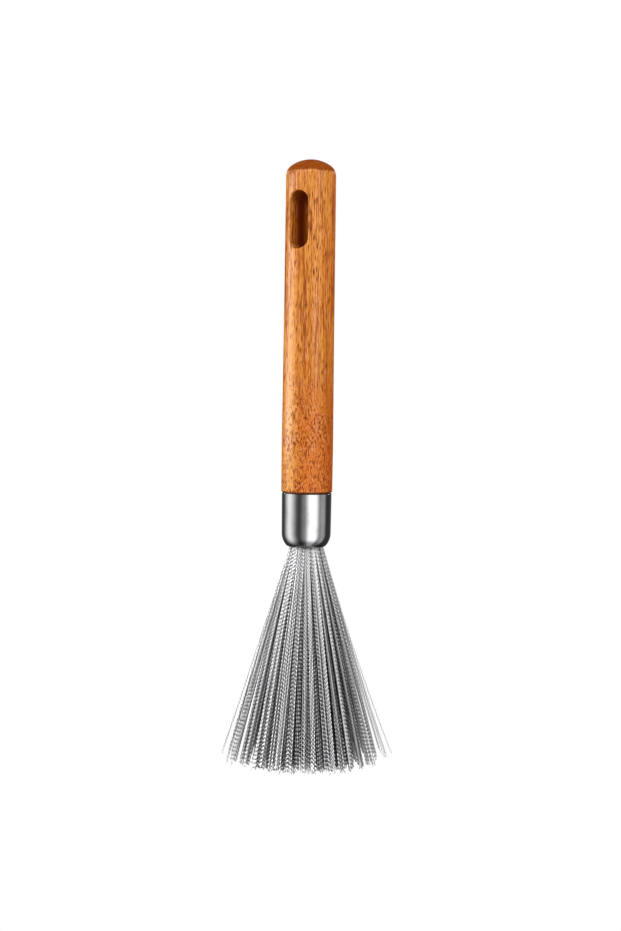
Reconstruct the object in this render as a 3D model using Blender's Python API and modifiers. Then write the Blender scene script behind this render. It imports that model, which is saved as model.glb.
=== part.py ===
"""Pot brush: a turned wooden handle, a drawn steel ferrule and a fan of steel wires folded over a ring.

+Z runs up the handle and the hanging slot goes through it along Y.
The origin is the top of the slot, where the brush hangs on its hook.
"""

import math
import random

import bmesh
import bpy
from mathutils import Matrix, Vector

MM = 0.001

# Handle
HANDLE_LENGTH = 135.9 * MM
HANDLE_TOP_RADIUS = 10.2 * MM
HANDLE_MIDDLE_RADIUS = 10.3 * MM
HANDLE_END_RADIUS = 10.45 * MM
DOME_RADIUS = 14.0 * MM
DOME_EDGE_FILLET = 5.0 * MM
HANDLE_END_ROUND = 0.8 * MM
TENON_CHAMFER = 1.0 * MM

# Hanging slot
WOOD_ABOVE_SLOT = 13.4 * MM
SLOT_WIDTH = 8.6 * MM
SLOT_LENGTH = 23.4 * MM

# Ferrule
FERRULE_STEP_IN = 0.2 * MM
FERRULE_LENGTH = 22.0 * MM
FERRULE_TAPER = 0.13 * MM
FERRULE_WALL = 0.8 * MM
SHOULDER_RADIUS = 7.4 * MM
MOUTH_RADIUS = 7.8 * MM
FERRULE_EDGE_ROUND = 0.2 * MM

# What the ferrule holds
FIT_GAP = 0.3 * MM
PACK_RECESS = 1.0 * MM
RING_ABOVE_SHOULDER = 0.2 * MM
RING_RADIUS = 4.6 * MM
RING_WIRE_RADIUS = 0.8 * MM
CROWN_RISE = 2.6 * MM
PLUG_THICKNESS = 2.0 * MM

# Wires
TUFT_COUNT = 12
WIRE_LENGTH = 91.5 * MM
FAN_RADIUS = 34.4 * MM
STRAND_ROOT_RADIUS = 0.17 * MM
STRAND_TIP_RADIUS = 0.4 * MM
STRAND_PITCH = 0.49 * MM
STRAND_ROOT_DEPTH = 0.8 * MM
TIP_UNEVENNESS = 1.2 * MM
TIP_SCATTER = 0.4 * MM
SCATTER_SEED = 7

# Facets
TURNED_STEPS = 48
PACK_STEPS = 36
RING_WIRE_SIDES = 8
STRAND_SIDES = 3
CUT_MARGIN = 3.0 * MM

# Radii that follow from the sizes above
FERRULE_RADIUS = HANDLE_END_RADIUS - FERRULE_STEP_IN
FERRULE_LOW_RADIUS = FERRULE_RADIUS - FERRULE_TAPER
FILLING_RADIUS = FERRULE_LOW_RADIUS - FERRULE_WALL - FIT_GAP
SHOULDER_CENTRE_RADIUS = FERRULE_LOW_RADIUS - SHOULDER_RADIUS
SHOULDER_TURN = math.acos((MOUTH_RADIUS - SHOULDER_CENTRE_RADIUS) / SHOULDER_RADIUS)
MOUTH_INNER_RADIUS = MOUTH_RADIUS - FERRULE_WALL * math.cos(SHOULDER_TURN)
THROAT_RADIUS = MOUTH_INNER_RADIUS - FIT_GAP - STRAND_ROOT_RADIUS

# Heights that follow from the sizes above
HANDLE_TOP = WOOD_ABOVE_SLOT
JOINT = HANDLE_TOP - HANDLE_LENGTH
FERRULE_TOP = JOINT - FIT_GAP
MOUTH = FERRULE_TOP - FERRULE_LENGTH
SHOULDER_LEVEL = MOUTH + SHOULDER_RADIUS * math.sin(SHOULDER_TURN)
PACK_BOTTOM = MOUTH + PACK_RECESS
RING_LEVEL = SHOULDER_LEVEL + RING_ABOVE_SHOULDER
CROWN_TOP = RING_LEVEL + RING_WIRE_RADIUS + CROWN_RISE
PLUG_BOTTOM = CROWN_TOP + FIT_GAP
PLUG_TOP = PLUG_BOTTOM + PLUG_THICKNESS
TENON_BOTTOM = PLUG_TOP + FIT_GAP

WOOD = ("oiled_wood", (0.52, 0.17, 0.035), 0.45, 0.0)
STEEL = ("polished_steel", (0.62, 0.62, 0.63), 0.22, 1.0)
WIRE = ("drawn_wire", (0.5, 0.5, 0.51), 0.32, 1.0)
EPOXY = ("epoxy", (0.42, 0.36, 0.22), 0.5, 0.0)


def clear_scene():
    for item in list(bpy.data.objects):
        bpy.data.objects.remove(item, do_unlink=True)


def new_collection(name):
    collection = bpy.data.collections.new(name)
    bpy.context.scene.collection.children.link(collection)
    return collection


def make_material(name, colour, roughness, metallic):
    material = bpy.data.materials.new(name)
    material.use_nodes = True
    shader = material.node_tree.nodes["Principled BSDF"]
    shader.inputs["Base Color"].default_value = (*colour, 1.0)
    shader.inputs["Roughness"].default_value = roughness
    shader.inputs["Metallic"].default_value = metallic
    material.diffuse_color = (*colour, 1.0)
    return material


def add_object(name, data, collection):
    item = bpy.data.objects.new(name, data)
    collection.objects.link(item)
    return item


def add_cutter(name, data):
    cutter = add_object(name, data, cutters)
    cutter.hide_render = True
    cutter.display_type = "WIRE"
    return cutter


def finish_part(item, finish):
    """Gives a part its own material and smooth round faces."""
    name, colour, roughness, metallic = finish
    item.data.materials.clear()
    item.data.materials.append(make_material(f"{item.name}_{name}", colour, roughness, metallic))
    item.data.shade_smooth()
    item.data.set_sharp_from_angle(angle=math.radians(35))


def arc(centre_r, centre_z, radius, start, end, steps):
    """Points of an arc in the profile plane; angles in degrees from straight up, turning outwards."""
    angles = [math.radians(start + (end - start) * i / steps) for i in range(steps + 1)]
    return [(centre_r + radius * math.sin(a), centre_z + radius * math.cos(a)) for a in angles]


def add_turned(name, profile, collection, steps):
    """An object turned about the Z axis from a profile of (radius, height) points."""
    mesh = bpy.data.meshes.new(name)
    edges = [(i, i + 1) for i in range(len(profile) - 1)]
    mesh.from_pydata([(r, 0.0, z) for r, z in profile], edges, [])
    item = add_object(name, mesh, collection)
    screw = item.modifiers.new("turn", "SCREW")
    screw.axis = "Z"
    screw.angle = math.tau
    screw.steps = steps
    screw.render_steps = steps
    screw.use_merge_vertices = True
    screw.merge_threshold = 1e-6
    screw.use_smooth_shade = True
    return item


def add_boolean(item, cutter, operation):
    boolean = item.modifiers.new(f"{operation.lower()}_{cutter.name}", "BOOLEAN")
    boolean.operation = operation
    boolean.solver = "EXACT"
    boolean.object = cutter


def evaluated_mesh(item):
    """The item's mesh with its modifiers applied and loose seams welded."""
    graph = bpy.context.evaluated_depsgraph_get()
    mesh = bpy.data.meshes.new_from_object(item.evaluated_get(graph))
    working = bmesh.new()
    working.from_mesh(mesh)
    bmesh.ops.remove_doubles(working, verts=working.verts, dist=1e-7)
    bmesh.ops.recalc_face_normals(working, faces=working.faces)
    working.to_mesh(mesh)
    working.free()
    return mesh


def prism_cutter(name, outline, half_thickness, matrix):
    """A flat outline given thickness both ways, stood where the matrix puts it."""
    curve = bpy.data.curves.new(name, "CURVE")
    curve.dimensions = "2D"
    curve.fill_mode = "BOTH"
    curve.extrude = half_thickness
    spline = curve.splines.new("POLY")
    spline.points.add(len(outline) - 1)
    for point, (x, y) in zip(spline.points, outline):
        point.co = (x, y, 0.0, 1.0)
    spline.use_cyclic_u = True
    drawn = add_object(f"{name}_outline", curve, cutters)
    cutter = add_cutter(name, evaluated_mesh(drawn))
    cutter.matrix_world = matrix
    bpy.data.objects.remove(drawn, do_unlink=True)
    return cutter


def ferrule_side(inset):
    """The ferrule's outer side from its top edge to its mouth, moved in by the inset.

    A slight taper, then a shoulder that turns in until it meets the mouth.
    """
    end = 90 + math.degrees(SHOULDER_TURN)
    bend = SHOULDER_RADIUS - inset
    shoulder = arc(SHOULDER_CENTRE_RADIUS, SHOULDER_LEVEL, bend, 90, end, 6)
    return [(FERRULE_RADIUS - inset, FERRULE_TOP)] + shoulder


def build_handle():
    """Turned wood: domed end, faint swell, rounded lower edge and a tenon for the ferrule."""
    fillet_r = HANDLE_TOP_RADIUS - DOME_EDGE_FILLET
    reach = DOME_RADIUS - DOME_EDGE_FILLET
    dome_angle = math.degrees(math.asin(fillet_r / reach))
    dome_centre = HANDLE_TOP - DOME_RADIUS
    fillet_z = dome_centre + math.sqrt(reach**2 - fillet_r**2)
    dome = arc(0.0, dome_centre, DOME_RADIUS, 0, dome_angle, 5)
    fillet = arc(fillet_r, fillet_z, DOME_EDGE_FILLET, dome_angle, 90, 5)
    end_r = HANDLE_END_RADIUS - HANDLE_END_ROUND
    lower_edge = arc(end_r, JOINT + HANDLE_END_ROUND, HANDLE_END_ROUND, 90, 180, 4)
    profile = [(0.0, HANDLE_TOP)] + dome[1:] + fillet[1:]
    profile += [(HANDLE_MIDDLE_RADIUS, (fillet_z + JOINT) / 2)]
    profile += lower_edge
    profile += [
        (FILLING_RADIUS, JOINT),
        (FILLING_RADIUS, TENON_BOTTOM + TENON_CHAMFER),
        (FILLING_RADIUS - TENON_CHAMFER, TENON_BOTTOM),
        (0.0, TENON_BOTTOM),
    ]
    handle = add_turned("handle", profile, parts, TURNED_STEPS)

    end_radius = SLOT_WIDTH / 2
    straight = SLOT_LENGTH - SLOT_WIDTH
    upper_end = arc(0.0, -end_radius, end_radius, -90, 90, 12)
    lower_end = arc(0.0, -end_radius - straight, end_radius, 90, 270, 12)
    slot = prism_cutter(
        "slot_cutter",
        list(reversed(upper_end + lower_end)),
        HANDLE_END_RADIUS + CUT_MARGIN,
        Matrix.Rotation(math.radians(90), 4, "X"),
    )
    add_boolean(handle, slot, "DIFFERENCE")
    finish_part(handle, WOOD)


def build_ferrule():
    """A steel cup drawn from sheet, open at the top, with its foot turned in round the wires."""
    ferrule = add_turned("ferrule", ferrule_side(0.0), parts, TURNED_STEPS)
    wall = ferrule.modifiers.new("wall", "SOLIDIFY")
    wall.thickness = FERRULE_WALL
    wall.offset = -1.0
    wall.use_even_offset = True
    rounding = ferrule.modifiers.new("edges", "BEVEL")
    rounding.width = FERRULE_EDGE_ROUND
    rounding.segments = 1
    rounding.limit_method = "ANGLE"
    rounding.angle_limit = math.radians(50)
    finish_part(ferrule, STEEL)


def ring_mesh(name, wire_radius):
    """A closed ring of round wire about the Z axis."""
    bpy.ops.mesh.primitive_torus_add(
        major_radius=RING_RADIUS,
        minor_radius=wire_radius,
        major_segments=PACK_STEPS,
        minor_segments=RING_WIRE_SIDES,
    )
    made = bpy.context.object
    mesh = made.data
    mesh.name = name
    bpy.data.objects.remove(made, do_unlink=True)
    return mesh


def build_retaining_ring():
    """The wire ring that every tuft is folded over."""
    ring = add_object("retaining_ring", ring_mesh("retaining_ring", RING_WIRE_RADIUS), parts)
    ring.location.z = RING_LEVEL
    finish_part(ring, STEEL)


def build_adhesive_plug():
    """The bed of set adhesive between the folded wires and the tenon."""
    profile = [
        (0.0, PLUG_TOP),
        (FILLING_RADIUS, PLUG_TOP),
        (FILLING_RADIUS, PLUG_BOTTOM),
        (0.0, PLUG_BOTTOM),
    ]
    plug = add_turned("adhesive_plug", profile, parts, TURNED_STEPS)
    finish_part(plug, EPOXY)


def strand_rings():
    """Rings of strands across one tuft: (share of the outermost radius, angles either side of its middle).

    No strand is nearer a side of its tuft than half the gap between tufts.
    """
    depth = PACK_RECESS + STRAND_ROOT_DEPTH
    outermost = THROAT_RADIUS - depth * (FAN_RADIUS - THROAT_RADIUS) / WIRE_LENGTH
    clear = FIT_GAP / 2 + STRAND_ROOT_RADIUS
    half_slice = math.pi / TUFT_COUNT
    radius = outermost
    rings = []
    while radius * math.sin(half_slice) > clear:
        half_angle = half_slice - math.asin(clear / radius)
        gaps = int(2 * half_angle * radius / STRAND_PITCH)
        angles = [half_angle * (2 * i / gaps - 1) for i in range(gaps + 1)] if gaps else [0.0]
        rings.append((radius / outermost, angles))
        radius -= STRAND_PITCH
    return rings


def around(radius, angle, height):
    """The point at a radius, angle and height about the Z axis."""
    return Vector((radius * math.cos(angle), radius * math.sin(angle), height))


def add_strand(working, root, tip):
    """A thin three-sided wire from a root to a tip, thicker at its tip, where its crimp is free."""
    along = root - tip
    turn = along.to_track_quat("Z", "Y").to_matrix().to_4x4()
    bmesh.ops.create_cone(
        working,
        cap_ends=True,
        segments=STRAND_SIDES,
        radius1=STRAND_TIP_RADIUS,
        radius2=STRAND_ROOT_RADIUS,
        depth=along.length,
        matrix=Matrix.Translation((root + tip) / 2) @ turn,
    )


def build_strands():
    """One tuft's wires: alike in length, spread evenly from the mouth, a little uneven at their tips."""
    working = bmesh.new()
    chance = random.Random(SCATTER_SEED)
    for share, angles in strand_rings():
        ring_turn = chance.uniform(-0.5, 0.5) * math.tau / TUFT_COUNT / len(angles)
        for angle in angles:
            length = WIRE_LENGTH - chance.uniform(0.0, TIP_UNEVENNESS)
            spread = share * (FAN_RADIUS - THROAT_RADIUS)
            drop = math.sqrt(length**2 - spread**2)
            tip_radius = share * FAN_RADIUS - chance.uniform(0.0, TIP_SCATTER)
            throat = around(share * THROAT_RADIUS, angle, MOUTH)
            tip = around(tip_radius, angle + ring_turn, MOUTH - drop)
            root = throat + (throat - tip) * (PACK_RECESS + STRAND_ROOT_DEPTH) / drop
            add_strand(working, root, tip)
    mesh = bpy.data.meshes.new("strands")
    working.to_mesh(mesh)
    working.free()
    return add_cutter("strands", mesh)


def pack_profile():
    """The folded wires in section: an arch over the ring, then down the inside of the ferrule."""
    rise = CROWN_TOP - RING_LEVEL
    arch = []
    for i in range(9):
        angle = math.pi * i / 8
        half_width = RING_RADIUS if i <= 4 else FILLING_RADIUS - RING_RADIUS
        arch.append((RING_RADIUS - half_width * math.cos(angle), RING_LEVEL + rise * math.sin(angle)))
    sides = [point for point in ferrule_side(FERRULE_WALL + FIT_GAP)[1:] if point[1] > PACK_BOTTOM]
    foot_radius = THROAT_RADIUS + STRAND_ROOT_RADIUS
    return arch + sides + [(foot_radius, PACK_BOTTOM), (0.0, PACK_BOTTOM)]


def build_tuft_mesh():
    """One slice of the folded wires, with its tunnel for the ring and its strands."""
    pack = add_turned("tuft", pack_profile(), cutters, PACK_STEPS)
    half_slice = math.pi / TUFT_COUNT
    apex = FIT_GAP / 2 / math.sin(half_slice)
    reach = FERRULE_RADIUS + CUT_MARGIN
    half_width = (reach - apex) * math.tan(half_slice)
    wedge = prism_cutter(
        "slice_cutter",
        [(apex, 0.0), (reach, -half_width), (reach, half_width)],
        FERRULE_LENGTH,
        Matrix.Translation((0.0, 0.0, RING_LEVEL)),
    )
    tunnel = add_cutter("tunnel_cutter", ring_mesh("tunnel_cutter", RING_WIRE_RADIUS + FIT_GAP))
    tunnel.location.z = RING_LEVEL
    add_boolean(pack, wedge, "INTERSECT")
    add_boolean(pack, tunnel, "DIFFERENCE")
    add_boolean(pack, build_strands(), "UNION")
    bpy.context.view_layer.update()
    mesh = evaluated_mesh(pack)
    bpy.data.objects.remove(pack, do_unlink=True)
    return mesh


def build_tufts():
    """The tufts round the ring, alike but for their place."""
    mesh = build_tuft_mesh()
    for i in range(TUFT_COUNT):
        tuft = add_object(f"tuft_{i + 1:02d}", mesh.copy(), parts)
        tuft.rotation_euler.z = math.tau * (i + 0.5) / TUFT_COUNT
        finish_part(tuft, WIRE)


clear_scene()
parts = new_collection("pot_brush")
cutters = new_collection("cutters")
build_handle()
build_ferrule()
build_retaining_ring()
build_adhesive_plug()
build_tufts()
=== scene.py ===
"""Pot brush, dressed: a lacquered wooden handle, a polished steel ferrule and a fan of crimped steel wires.

Lengths are in metres. +Z runs up the handle, and the hanging slot goes through it along Y.
"""

import bpy
import numpy as np
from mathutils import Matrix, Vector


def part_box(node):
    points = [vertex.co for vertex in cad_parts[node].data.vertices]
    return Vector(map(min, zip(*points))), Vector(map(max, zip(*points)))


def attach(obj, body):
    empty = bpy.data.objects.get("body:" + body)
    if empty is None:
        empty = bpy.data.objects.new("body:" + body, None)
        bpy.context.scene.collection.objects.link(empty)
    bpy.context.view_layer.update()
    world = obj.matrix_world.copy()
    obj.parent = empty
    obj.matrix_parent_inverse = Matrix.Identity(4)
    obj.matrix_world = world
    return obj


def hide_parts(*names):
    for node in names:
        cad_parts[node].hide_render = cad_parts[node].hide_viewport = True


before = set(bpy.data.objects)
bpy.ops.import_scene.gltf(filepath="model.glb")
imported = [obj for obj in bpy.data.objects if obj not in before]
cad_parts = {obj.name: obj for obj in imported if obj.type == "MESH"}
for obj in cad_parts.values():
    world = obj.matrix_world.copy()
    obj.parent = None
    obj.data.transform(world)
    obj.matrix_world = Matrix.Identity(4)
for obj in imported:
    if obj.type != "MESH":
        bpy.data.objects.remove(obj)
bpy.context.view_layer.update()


# Retaining ring
# A closed ring of round steel wire inside the ferrule, which every bristle wire is folded over.
# Plain drawn wire, a little dull, held between the ferrule's shoulder and the folded wires.

MM = 0.001

RING_COLOUR = (0.46, 0.45, 0.44, 1.0)
RING_PATCH_COLOUR = (0.322, 0.315, 0.308, 1.0)
RING_ROUGHNESS = 0.34
RING_PATCH_ROUGHENS = 0.12
RING_PATCH = 2.0 * MM
RING_PATCH_EDGES = (0.35, 0.7)
DIE_MARK = 0.15 * MM
DIE_MARK_DEPTH = 0.01 * MM


class Socket:
    """An output in a finish. Python's operators on it add Math nodes."""

    def __init__(self, nodes, socket):
        self.nodes = nodes
        self.socket = socket

    def math(self, operation, *terms):
        """A Math node's output, given its operation and up to three terms."""
        return self.nodes.node("ShaderNodeMath", {"operation": operation}, dict(enumerate(terms)))

    def __add__(self, other):
        return self.math("ADD", self, other)

    def __radd__(self, other):
        return self.math("ADD", other, self)

    def __sub__(self, other):
        return self.math("SUBTRACT", self, other)

    def __rsub__(self, other):
        return self.math("SUBTRACT", other, self)

    def __mul__(self, other):
        return self.math("MULTIPLY", self, other)

    def __rmul__(self, other):
        return self.math("MULTIPLY", other, self)


class Nodes:
    """The node tree of a finish, with one method for every kind of node."""

    def __init__(self, tree):
        self.tree = tree

    def node(self, kind, settings=None, sockets=None, output=0):
        """Adds a node, gives it its settings and then its sockets' values or links, and returns an output."""
        made = self.tree.nodes.new(kind)
        for name, value in (settings or {}).items():
            setattr(made, name, value)
        self.feed(made, sockets or {})
        return Socket(self, made.outputs[output])

    def feed(self, made, sockets):
        """Links or sets the sockets of a node that is already there."""
        for name, value in sockets.items():
            if isinstance(value, Socket):
                self.tree.links.new(value.socket, made.inputs[name])
            else:
                made.inputs[name].default_value = value

    def place(self):
        """Where a point of the surface lies in the object, in metres."""
        return self.node("ShaderNodeTexCoord", output="Object")

    def grain(self, width, length, detail=2.0, shift=0.0, warp=0.0):
        """Noise from 0 to 1 in cells of that width across the Z axis and that length along it."""
        cells = self.node(
            "ShaderNodeMapping",
            {},
            {
                "Vector": self.place(),
                "Location": (shift, shift, shift),
                "Scale": (1 / width, 1 / width, 1 / length),
            },
        )
        return self.node(
            "ShaderNodeTexNoise",
            {},
            {"Vector": cells, "Scale": 1.0, "Detail": detail, "Roughness": 0.55, "Distortion": warp},
        )

    def step(self, value, low, high, start=0.0, end=1.0):
        """Goes smoothly from start to end as the value goes from low to high."""
        return self.node(
            "ShaderNodeMapRange",
            {"interpolation_type": "SMOOTHSTEP"},
            {"Value": value, "From Min": low, "From Max": high, "To Min": start, "To Max": end},
        )

    def blend(self, share, first, second):
        """The first colour, turning into the second as the share goes from 0 to 1."""
        return self.node("ShaderNodeMix", {"data_type": "RGBA"}, {0: share, 6: first, 7: second}, 2)

    def bump(self, height, depth):
        """A normal tilted as if the surface rose by up to that depth."""
        return self.node("ShaderNodeBump", {}, {"Height": height, "Distance": depth, "Strength": 1.0})


def new_finish(name, **constants):
    """A material with a Principled shader, and the same all over but for what its nodes then vary."""
    material = bpy.data.materials.new(name)
    material.use_nodes = True
    nodes = Nodes(material.node_tree)
    shader = material.node_tree.nodes["Principled BSDF"]
    nodes.feed(shader, {words.replace("_", " "): value for words, value in constants.items()})
    return material, nodes, shader


def drawn_wire_finish():
    """Dull steel with the fine marks of the die and a few darker patches."""
    material, nodes, shader = new_finish("ring_steel", Metallic=1.0)
    patches = nodes.grain(RING_PATCH, RING_PATCH)
    marks = nodes.grain(DIE_MARK, DIE_MARK, shift=3.0)
    nodes.feed(
        shader,
        {
            "Base Color": nodes.blend(nodes.step(patches, *RING_PATCH_EDGES), RING_COLOUR, RING_PATCH_COLOUR),
            "Roughness": RING_ROUGHNESS + RING_PATCH_ROUGHENS * patches,
            "Normal": nodes.bump(marks, DIE_MARK_DEPTH),
        },
    )
    return material


def dress(node, material):
    """Gives a CAD node its finish."""
    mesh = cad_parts[node].data
    mesh.materials.clear()
    mesh.materials.append(material)


dress("retaining_ring", drawn_wire_finish())


# Wires
# Crimped stainless wires, laid in ribbons side by side and folded in half over the retaining ring.
# They leave the ferrule's mouth as one tight bundle, and lean outwards more the nearer they are to its edge.

TUFT_COUNT = 12
RIBBONS_PER_TUFT = 12
WIRES_PER_RIBBON = 3
WIRE_RADIUS = 0.18 * MM
WIRE_SIDES = 4
WIRE_LENGTH = 91.5 * MM
TIP_UNEVENNESS = 0.8 * MM
CRIMP_PITCH = 1.58 * MM
CRIMP_HEIGHT = 0.25 * MM
CRIMP_WAVE = np.array([0.0, 1.0, 0.0, -1.0])
WIRE_SPACING = 0.42 * MM
RIBBON_SPREAD = 0.55
RIBBON_SLANTS = np.array([-1, -1, 0, 1, 1, 2])
SLANTED_PLANES = (0.3, 0.7)
MIRRORED_RIBBONS = 0.5
RIBBON_UNEVENNESS = 1.3 * MM
THROAT_RADIUS = 6.75 * MM
LEAN_AT_MOUTH = np.radians(17.3)
LEAN_AT_TIP = np.radians(15.6)
LEAN_SCATTER = np.radians(0.3)
BEND_SCATTER = np.radians(0.6)
TIP_DRIFT = 0.7 * MM
SMALLEST_FOLD = 1.05 * MM
LARGEST_FOLD = 2.9 * MM
STEPS_LEFT_AT_FOLD = 0.8
SLICE_EDGE = 0.05
GOLDEN_SHARE = (5**0.5 - 1) / 2
SCATTER_SEED = 3

STRAYS_PER_TUFT = 2
STRAY_SHARES = (0.7, 1.0)
STRAY_LEAN_AT_MOUTH = 0.95 * LEAN_AT_MOUTH
STRAY_LEAN_AT_TIP = np.radians([17.6, 19.6])
STRAY_TONE = 0.44
STRAY_CRIMP_SHADING = 0.4
SIDE_STRAYS = {"azimuth": np.radians([31, 24, 40]), "lean": np.radians([22.0, 19.4, 17.1])}

ring_low, ring_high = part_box("retaining_ring")
RING_LEVEL = (ring_low.z + ring_high.z) / 2
RING_RADIUS = ring_high.x - (ring_high.z - ring_low.z) / 2
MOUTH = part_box("ferrule")[0].z

# The tones are painted light and shade, for the light that packed wires keep from each other: the hollows of
# the crimp, the inside of the bundle and its throat are painted darker, and the tips, the cut ends and what
# faces inwards near them are painted lighter.
WIRE_DARK = (0.03, 0.03, 0.033, 1.0)
WIRE_LIGHT = (0.92, 0.92, 0.93, 1.0)
WIRE_ROUGHNESS = 0.32
CRIMP_TONE = np.array([0.72, 1.0, 0.72, 0.15])
WIRE_TONES = np.array([0.16, 0.66, 0.98, 1.12])
RIBBON_LIGHT = {"share": [0.0, 0.7, 0.9, 1.0], "light": [0.01, 0.04, 0.46, 1.0]}
RIBBON_LIGHT_SCATTER = (0.74, 1.05)
MOUTH_LIGHT = -0.17
MOUTH_FADES = 0.8
TIP_LIGHT = 0.28
THROAT_AND_TIP_LIGHT_REACH = 12 * MM
CUT_END_TONE = 0.3
CUT_END_REACH = 1 * MM
INNER_SIDE_TONE = 0.42
INNER_SIDE_REACH = 14 * MM
STRIP_MARGIN = 0.15


def closed_grid(rows, columns):
    """Four-sided faces between neighbouring rows of grid points, each row closing on itself."""
    corner = np.arange(rows * columns).reshape(rows, columns)
    beside = np.roll(corner, -1, axis=1)
    return np.stack([corner[:-1], corner[1:], beside[1:], beside[:-1]], axis=-1).reshape(-1, 4)


def new_piece(name, points, face_blocks, material):
    """An object at the origin from an array of points and blocks of faces, each block of one face size."""
    corners = np.concatenate([block.ravel() for block in face_blocks])
    sizes = np.concatenate([np.full(len(block), block.shape[1]) for block in face_blocks])
    mesh = bpy.data.meshes.new(name)
    mesh.vertices.add(len(points))
    mesh.vertices.foreach_set("co", points.astype(np.float32).ravel())
    mesh.loops.add(len(corners))
    mesh.loops.foreach_set("vertex_index", corners.astype(np.int32))
    mesh.polygons.add(len(sizes))
    mesh.polygons.foreach_set("loop_start", (np.cumsum(sizes) - sizes).astype(np.int32))
    mesh.update(calc_edges=True)
    mesh.shade_smooth()
    mesh.materials.append(material)
    piece = bpy.data.objects.new(name, mesh)
    bpy.context.scene.collection.objects.link(piece)
    return piece


def crimped_wire_finish():
    """Drawn steel, a little different on each wire, with painted light and shade: bright on the outer wires
    and painted dark on the inner ones.
    """
    material, nodes, shader = new_finish("crimped_wire_steel", Metallic=1.0, Roughness=WIRE_ROUGHNESS)
    tone = nodes.node("ShaderNodeAttribute", {"attribute_name": "tone"}, output="Fac")
    nodes.feed(shader, {"Base Color": nodes.blend(tone, WIRE_DARK, WIRE_LIGHT)})
    return material


def unit(vectors):
    """The vectors, each made one long."""
    return vectors / np.linalg.norm(vectors, axis=-1, keepdims=True)


def crimped_leg(leg, side, fold, fold_azimuth):
    """One leg's centre line from its fold to its tip, and what goes with each of its points.

    That is the direction across it, its tone of painted light and shade, and the painted light that its side
    towards the brush's middle gets.
    A quarter circle over the ring, a cubic down to the mouth, then a wide arc of a circle outwards.
    That arc's chord after a reach w is w sinc(bend w / 2), and it leans as the arc does halfway.
    The crimp is a zigzag across one plane, four points to each pitch, that dies out towards the fold.
    """
    drop = RING_LEVEL - MOUTH
    fold_radius = RING_RADIUS + side * fold
    throat = np.hypot(drop, leg["radius"] - fold_radius)
    spacing = CRIMP_PITCH / len(CRIMP_WAVE)
    first = -int((throat + fold * np.pi / 2) / spacing - STEPS_LEFT_AT_FOLD)
    index = np.arange(first, int(leg["length"] / spacing))
    run = (index + leg["phase"]) * spacing
    turn = np.clip((run + throat) / fold + np.pi / 2, 0.0, np.pi / 2)
    share = np.clip(1 + run / throat, 0.0, 1.0)
    reach = np.maximum(run, 0.0)
    smooth = share**2 * (3 - 2 * share)
    chord = reach * np.sinc(leg["bend"] * reach / 2 / np.pi)
    chord_lean = leg["lean"] + leg["bend"] * reach / 2
    out = fold_radius + side * fold * (np.sin(turn) - 1) + (leg["radius"] - fold_radius) * smooth
    out = out + share**2 * (share - 1) * drop * np.tan(leg["lean"]) + chord * np.sin(chord_lean)
    height = RING_LEVEL + fold * np.cos(turn) - drop * share - chord * np.cos(chord_lean)
    bearing = fold_azimuth + (leg["azimuth"] - fold_azimuth) * smooth + leg["drift"] * reach / WIRE_LENGTH
    across = np.column_stack([-np.sin(bearing), np.cos(bearing), np.zeros(len(bearing))])
    line = np.column_stack([out * np.cos(bearing), out * np.sin(bearing), height])
    line = line + (leg["aside"] * (1 + RIBBON_SPREAD * reach / WIRE_LENGTH))[:, None] * across
    outward = np.cross(unit(np.gradient(line, axis=0)), across)
    corner = (index + leg["step"]) % len(CRIMP_WAVE)
    swing = (CRIMP_HEIGHT * smooth * CRIMP_WAVE[corner])[:, None]
    swing = swing * (np.cos(leg["plane"]) * across + np.sin(leg["plane"]) * outward)
    # Painted light and shade: darker near the mouth, lighter towards the tips and at the cut ends, and the
    # crimp's hollows darker than its crests.
    near_mouth = np.exp(-reach / THROAT_AND_TIP_LIGHT_REACH)
    throat_and_tip_light = 1 + MOUTH_LIGHT * near_mouth + TIP_LIGHT * np.exp((reach - WIRE_LENGTH) / THROAT_AND_TIP_LIGHT_REACH)
    crimp_shading = leg["crimp_shading"] * (1 - MOUTH_FADES * near_mouth)
    cut_end = CUT_END_TONE * np.exp((reach - leg["length"]) / CUT_END_REACH)
    tone = leg["tone"] * (1 - (1 - CRIMP_TONE[corner]) * crimp_shading) * throat_and_tip_light + cut_end
    inner_side = INNER_SIDE_TONE * np.exp((reach - leg["length"]) / INNER_SIDE_REACH)
    return line + swing, across, tone, inner_side


def folded_wire(fold, inner_leg, outer_leg):
    """A wire as rings of points and their tones: its inner leg, the top of its fold and its outer leg.

    Each ring is the centre line plus the wire's radius, at even angles in the plane square to the line.
    Near the wire's tips, the points that face the brush's middle are painted lighter than the others, as
    painted light.
    """
    fold_azimuth = (inner_leg["azimuth"] + outer_leg["azimuth"]) / 2
    inner_line, inner_across, inner_tone, inner_light = crimped_leg(inner_leg, -1, fold, fold_azimuth)
    outer_line, outer_across, outer_tone, outer_light = crimped_leg(outer_leg, 1, fold, fold_azimuth)
    across = np.array([[-np.sin(fold_azimuth), np.cos(fold_azimuth), 0.0]])
    aside = (inner_leg["aside"] + outer_leg["aside"]) / 2
    centre_x, centre_y = RING_RADIUS * np.cos(fold_azimuth), RING_RADIUS * np.sin(fold_azimuth)
    top = np.array([[centre_x, centre_y, RING_LEVEL + fold]])
    line = np.concatenate([inner_line[::-1], top + aside * across, outer_line])
    across = np.concatenate([inner_across[::-1], across, outer_across])
    ahead = unit(np.gradient(line, axis=0))
    across = unit(across - (across * ahead).sum(1, keepdims=True) * ahead)
    beside = np.cross(across, ahead)
    angles = (np.arange(WIRE_SIDES) + 0.5) * 2 * np.pi / WIRE_SIDES
    ring = np.cos(angles)[:, None] * across[:, None] + np.sin(angles)[:, None] * beside[:, None]
    tone = np.concatenate([inner_tone[::-1], inner_tone[:1], outer_tone])
    light = np.concatenate([-inner_light[::-1], [0.0], outer_light])
    tone = tone[:, None] + np.maximum(light[:, None] * np.sign(np.sin(angles)), 0.0)
    return line[:, None] + WIRE_RADIUS * ring, tone


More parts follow.
